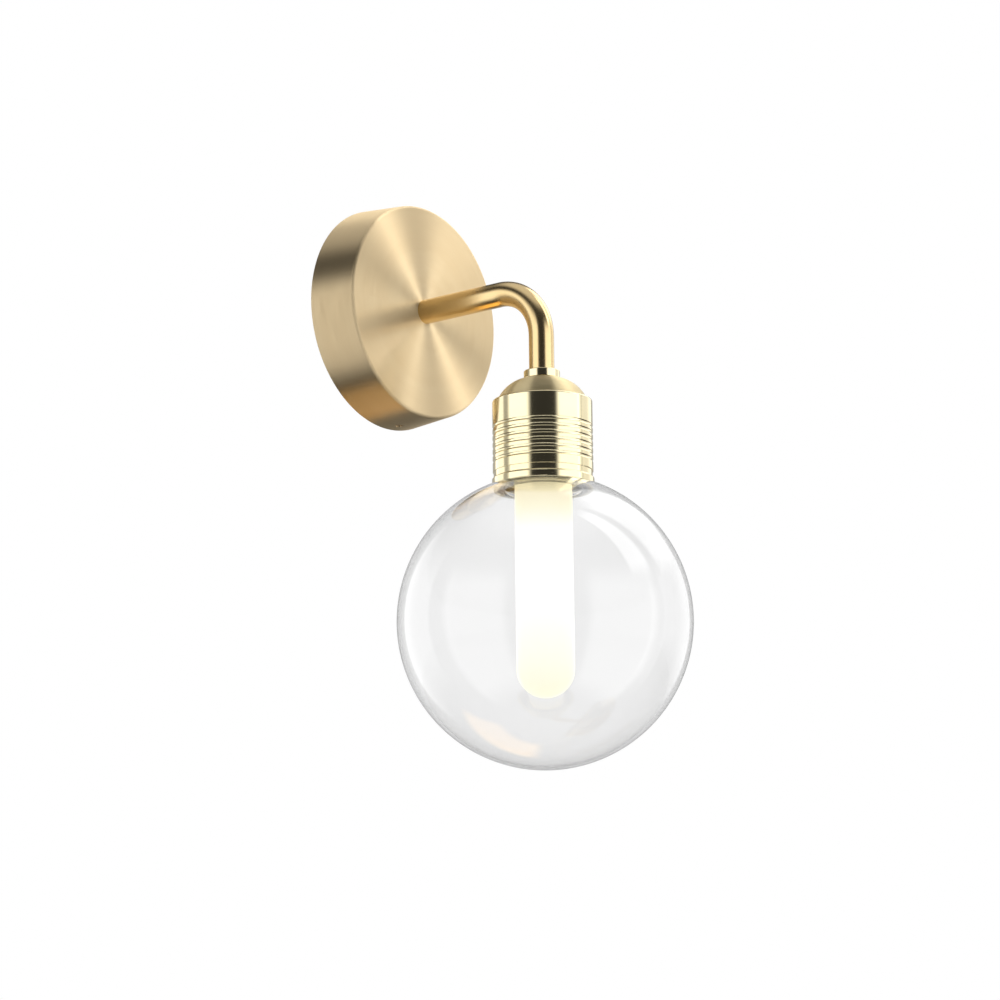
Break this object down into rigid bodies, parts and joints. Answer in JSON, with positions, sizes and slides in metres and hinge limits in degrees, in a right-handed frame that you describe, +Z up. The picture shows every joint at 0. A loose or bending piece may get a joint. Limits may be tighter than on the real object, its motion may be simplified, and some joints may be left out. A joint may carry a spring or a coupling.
{
  "type": "globe wall sconce",
  "caption": "Brass wall light: round canopy, bent tube arm, domed ribbed cup, clear glass globe on a threaded neck, opal inner tube and a plug-in capsule bulb.",
  "frame": {"origin": "middle of the two wall-screw slots, on the canopy's axis, in the plane of the wall", "axes": "+Z up, -Y out from the wall into the room, +X to the viewer's right when facing the wall"},
  "size_m": [0.15, 0.1851, 0.3108],
  "materials": {
    "satin_brass": "satin",
    "polished_brass": "polished",
    "bright_brass": "machined",
    "zinc_steel": "zinc plated",
    "spring_steel": "nickel plated",
    "white_plastic": "moulded",
    "white_ceramic": "glazed",
    "silicone": "matt",
    "opal_glass": "frosted",
    "clear_glass": "clear",
    "frosted_bulb": "frosted",
    "brown_sleeve": "extruded",
    "blue_sleeve": "extruded",
    "green_sleeve": "extruded"
  },
  "bodies": {
    "fixture": {"wall_bracket": "zinc_steel", "canopy": "satin_brass", "canopy_screws": "satin_brass", "earth_screw": "bright_brass", "earth_washer": "bright_brass", "earth_lug": "bright_brass", "terminal_block": "white_plastic", "terminal_poles": "bright_brass", "terminal_screws": "bright_brass", "arm_tube": "satin_brass", "arm_nipple": "zinc_steel", "arm_lock_washer": "zinc_steel", "arm_earth_lug": "bright_brass", "arm_nut": "zinc_steel", "lamp_nipple": "zinc_steel", "lamp_collar": "polished_brass", "dome_cap": "polished_brass", "ribbed_cup": "polished_brass", "lamp_lock_washer": "zinc_steel", "lamp_nut": "zinc_steel", "holder_sleeve": "polished_brass", "holder_bracket": "zinc_steel", "lampholder": "white_ceramic", "holder_screws": "zinc_steel", "contact_springs": "spring_steel", "live_wire": "brown_sleeve", "neutral_wire": "blue_sleeve", "earth_wire": "green_sleeve"},
    "globe_seal": {"globe_gasket": "silicone"},
    "globe": {"globe": "clear_glass"},
    "opal_shade": {"opal_tube": "opal_glass", "tube_gasket": "silicone"},
    "shade_ring": {"tube_ring": "polished_brass"},
    "bulb": {"bulb_base": "white_ceramic", "bulb_pins": "spring_steel", "bulb_capsule": "frosted_bulb"}
  },
  "joints": [
    {"name": "globe_lowering", "type": "slide", "parent": "fixture", "child": "globe_seal", "axis": [0, 0, -1], "range_m": [0, 0.007]},
    {"name": "globe_unscrew", "type": "hinge", "parent": "globe_seal", "child": "globe", "pos_m": [0, -0.1062, -0.1], "axis": [0, 0, -1], "range_deg": [0, 720]},
    {"name": "shade_lowering", "type": "slide", "parent": "fixture", "child": "opal_shade", "axis": [0, 0, -1], "range_m": [0, 0.0045]},
    {"name": "ring_unscrew", "type": "hinge", "parent": "opal_shade", "child": "shade_ring", "pos_m": [0, -0.1062, -0.095], "axis": [0, 0, -1], "range_deg": [0, 1080]},
    {"name": "bulb_pull", "type": "slide", "parent": "fixture", "child": "bulb", "axis": [0, 0, -1], "range_m": [0, 0.0105]}
  ],
  "couplings": [
    {"joint": "globe_lowering", "follows": "globe_unscrew", "m_per_rad": 0.00055704},
    {"joint": "shade_lowering", "follows": "ring_unscrew", "m_per_rad": 0.00023873}
  ]
}
